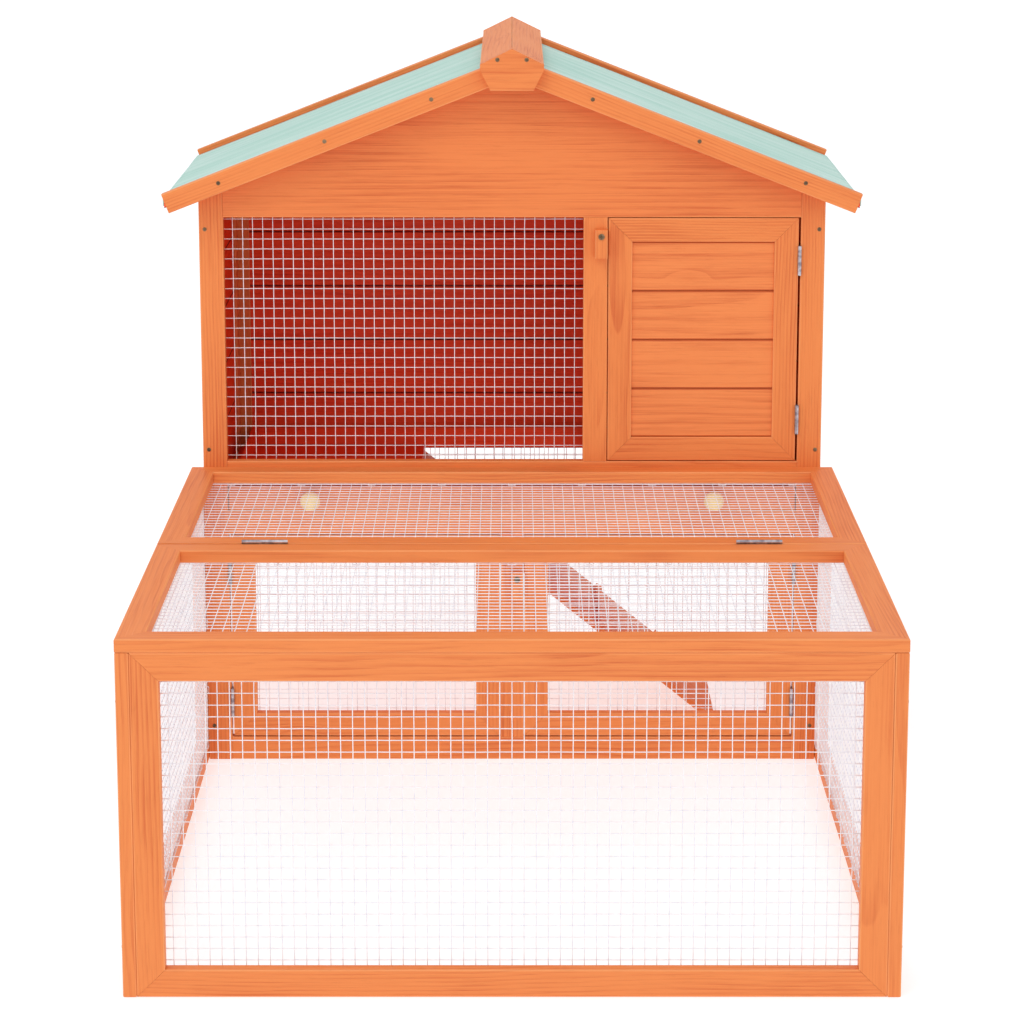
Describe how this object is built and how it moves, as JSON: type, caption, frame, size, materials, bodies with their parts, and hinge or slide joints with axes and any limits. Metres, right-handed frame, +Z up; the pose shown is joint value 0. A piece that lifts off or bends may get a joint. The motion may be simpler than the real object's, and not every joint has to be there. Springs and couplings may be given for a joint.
{
  "type": "rabbit hutch",
  "caption": "Two-storey wooden rabbit hutch: a raised house with a pitched felt roof over a nest, ramp and pull-out tray, and a wire run with a lifting lid.",
  "frame": {"origin": "on the ground, in the middle of the space that the hutch fills", "axes": "+Z up, +Y from the front of the run to the back of the house, +X to the right as seen from the front"},
  "size_m": [0.892, 1.2626, 0.9481],
  "materials": {
    "stained_fir": "orange-brown water-based stain over planed fir, satin",
    "inner_boards": "the same stain on the thin boards inside the frames, satin",
    "roofing_felt": "pale green mineral roofing felt, matt",
    "galvanised_wire": "hot-dip galvanised, satin",
    "hinge_steel": "zinc-plated, satin",
    "screw_steel": "zinc-plated, dulled",
    "bare_beech": "turned and sanded, unstained"
  },
  "bodies": {
    "hutch": {"front_posts": "stained_fir", "front_rails": "stained_fir", "front_gable": "stained_fir", "mullion": "stained_fir", "centre_post": "stained_fir", "side_frames": "stained_fir", "side_boards": "inner_boards", "back_posts": "stained_fir", "back_rails": "stained_fir", "back_boards": "inner_boards", "floor_bearers": "stained_fir", "house_floor": "inner_boards", "nest_partition": "inner_boards", "ramp_board": "stained_fir", "ramp_cleats": "stained_fir", "front_mesh": "galvanised_wire", "back_mesh": "galvanised_wire", "left_mesh": "galvanised_wire", "right_mesh": "galvanised_wire", "roof_decks": "inner_boards", "roof_felts": "roofing_felt", "barge_boards": "stained_fir", "ridge_caps": "stained_fir", "ridge_plates": "stained_fir", "run_front_frame": "stained_fir", "run_side_frames": "stained_fir", "run_top_frame": "stained_fir", "run_front_mesh": "galvanised_wire", "run_left_mesh": "galvanised_wire", "run_right_mesh": "galvanised_wire", "run_top_mesh": "galvanised_wire", "wall_screws": "screw_steel", "roof_screws": "screw_steel", "run_screws": "screw_steel", "latch_screws": "screw_steel", "hinge_leaves": "hinge_steel", "hinge_pins": "hinge_steel", "hinge_screws": "screw_steel"},
    "lid": {"lid_frame": "stained_fir", "lid_mesh": "galvanised_wire", "lid_leaves": "hinge_steel", "lid_screws": "screw_steel"},
    "nest_door": {"nest_door_frame": "stained_fir", "nest_door_boards": "stained_fir", "nest_door_leaves": "hinge_steel", "nest_door_screws": "screw_steel"},
    "left_door": {"left_door_frame": "stained_fir", "left_door_mesh": "galvanised_wire", "left_door_leaves": "hinge_steel", "left_door_screws": "screw_steel"},
    "right_door": {"right_door_frame": "stained_fir", "right_door_mesh": "galvanised_wire", "right_door_leaves": "hinge_steel", "right_door_screws": "screw_steel"},
    "nest_latch": {"nest_latch": "stained_fir"},
    "left_latch": {"left_latch": "stained_fir"},
    "right_latch": {"right_latch": "stained_fir"},
    "tray": {"tray_base": "inner_boards", "tray_front": "stained_fir", "tray_knobs": "bare_beech"}
  },
  "joints": [
    {"name": "lid_hinge", "type": "hinge", "parent": "hutch", "child": "lid", "pos_m": [0, -0.22775, 0.4013], "axis": [-1, 0, 0], "range_deg": [0, 110]},
    {"name": "nest_door_hinge", "type": "hinge", "parent": "hutch", "child": "nest_door", "pos_m": [0.3702, 0.17395, 0.567], "axis": [0, 0, 1], "range_deg": [0, 170]},
    {"name": "right_door_hinge", "type": "hinge", "parent": "hutch", "child": "right_door", "pos_m": [0.3702, 0.17395, 0.16975], "axis": [0, 0, 1], "range_deg": [0, 90]},
    {"name": "left_door_hinge", "type": "hinge", "parent": "hutch", "child": "left_door", "pos_m": [-0.3702, 0.17395, 0.16975], "axis": [0, 0, -1], "range_deg": [0, 90]},
    {"name": "nest_latch_turn", "type": "hinge", "parent": "hutch", "child": "nest_latch", "pos_m": [0.1148, 0.17625, 0.704], "axis": [0, -1, 0], "range_deg": [0, 90]},
    {"name": "left_latch_turn", "type": "hinge", "parent": "hutch", "child": "left_latch", "pos_m": [-0.0066, 0.17625, 0.2814], "axis": [0, -1, 0], "range_deg": [0, 90]},
    {"name": "right_latch_turn", "type": "hinge", "parent": "hutch", "child": "right_latch", "pos_m": [0.0066, 0.17625, 0.2499], "axis": [0, -1, 0], "range_deg": [0, 90]},
    {"name": "tray_slide", "type": "slide", "parent": "hutch", "child": "tray", "axis": [0, -1, 0], "range_m": [0, 0.3]}
  ]
}
